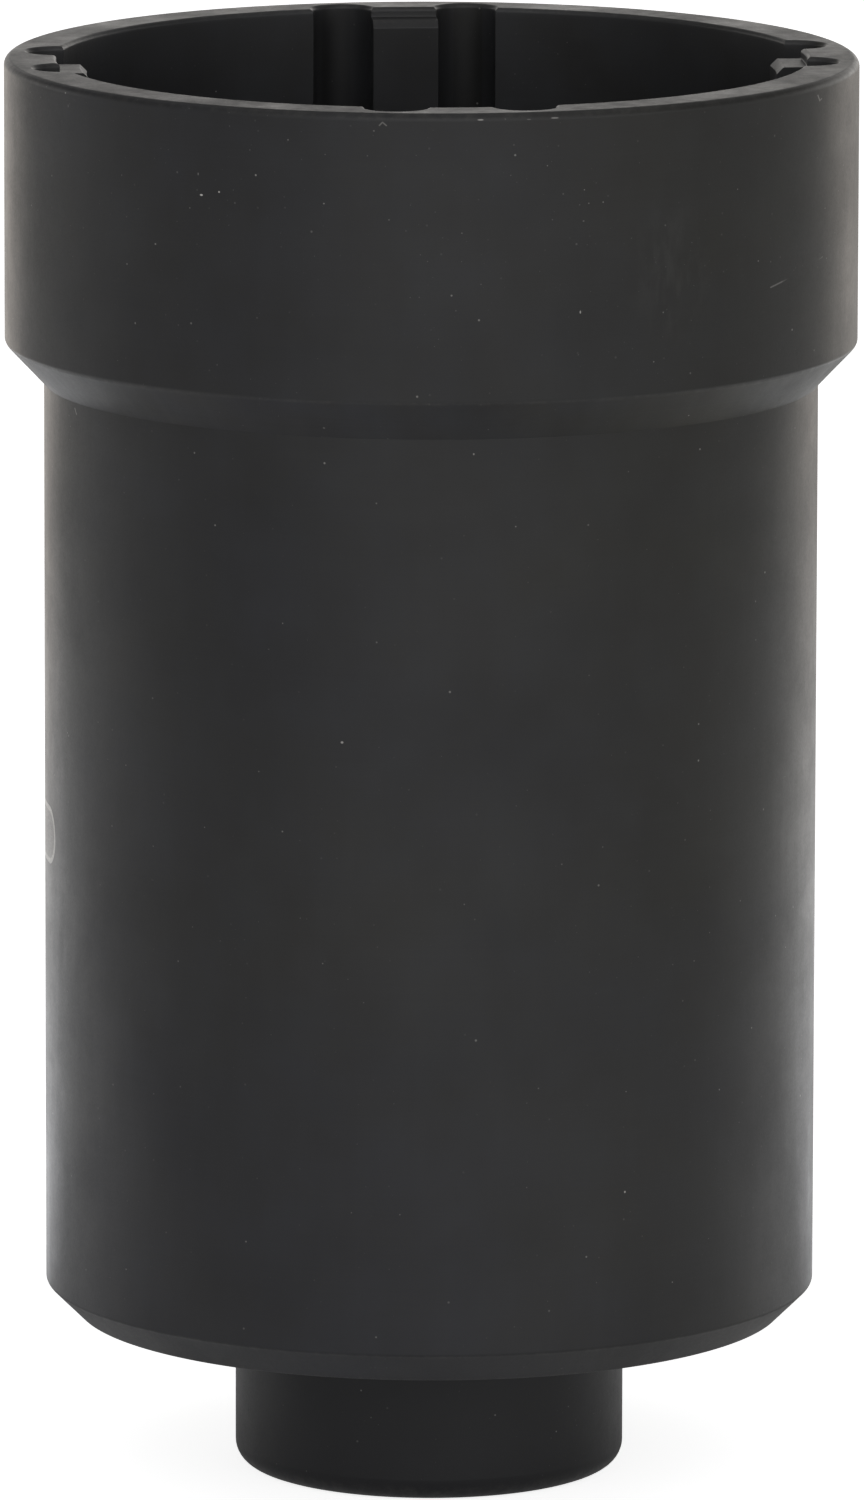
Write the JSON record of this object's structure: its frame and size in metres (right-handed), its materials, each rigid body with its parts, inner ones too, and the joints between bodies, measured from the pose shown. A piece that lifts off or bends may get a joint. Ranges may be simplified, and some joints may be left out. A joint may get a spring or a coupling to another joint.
{
  "type": "oil filter wrench",
  "caption": "Deep cup-type oil filter wrench: long plain barrel under a wider fluted lug ring, with a small round drive hub at the closed end.",
  "frame": {"origin": "centre of the drive hub's end face, on the wrench's axis", "axes": "+Z along the axis towards the open mouth; the four lugs point along +X, +Y, -X and -Y"},
  "size_m": [0.098, 0.098, 0.1647],
  "materials": {
    "blackened_steel": "satin black oxide over turned steel",
    "blackened_weld": "satin black oxide over weld metal"
  },
  "bodies": {
    "root": {"lug_ring": "blackened_steel", "barrel_tube": "blackened_steel", "base_plate": "blackened_steel", "drive_hub": "blackened_steel", "ring_weld": "blackened_weld", "base_weld": "blackened_weld", "hub_weld": "blackened_weld"}
  },
  "joints": []
}
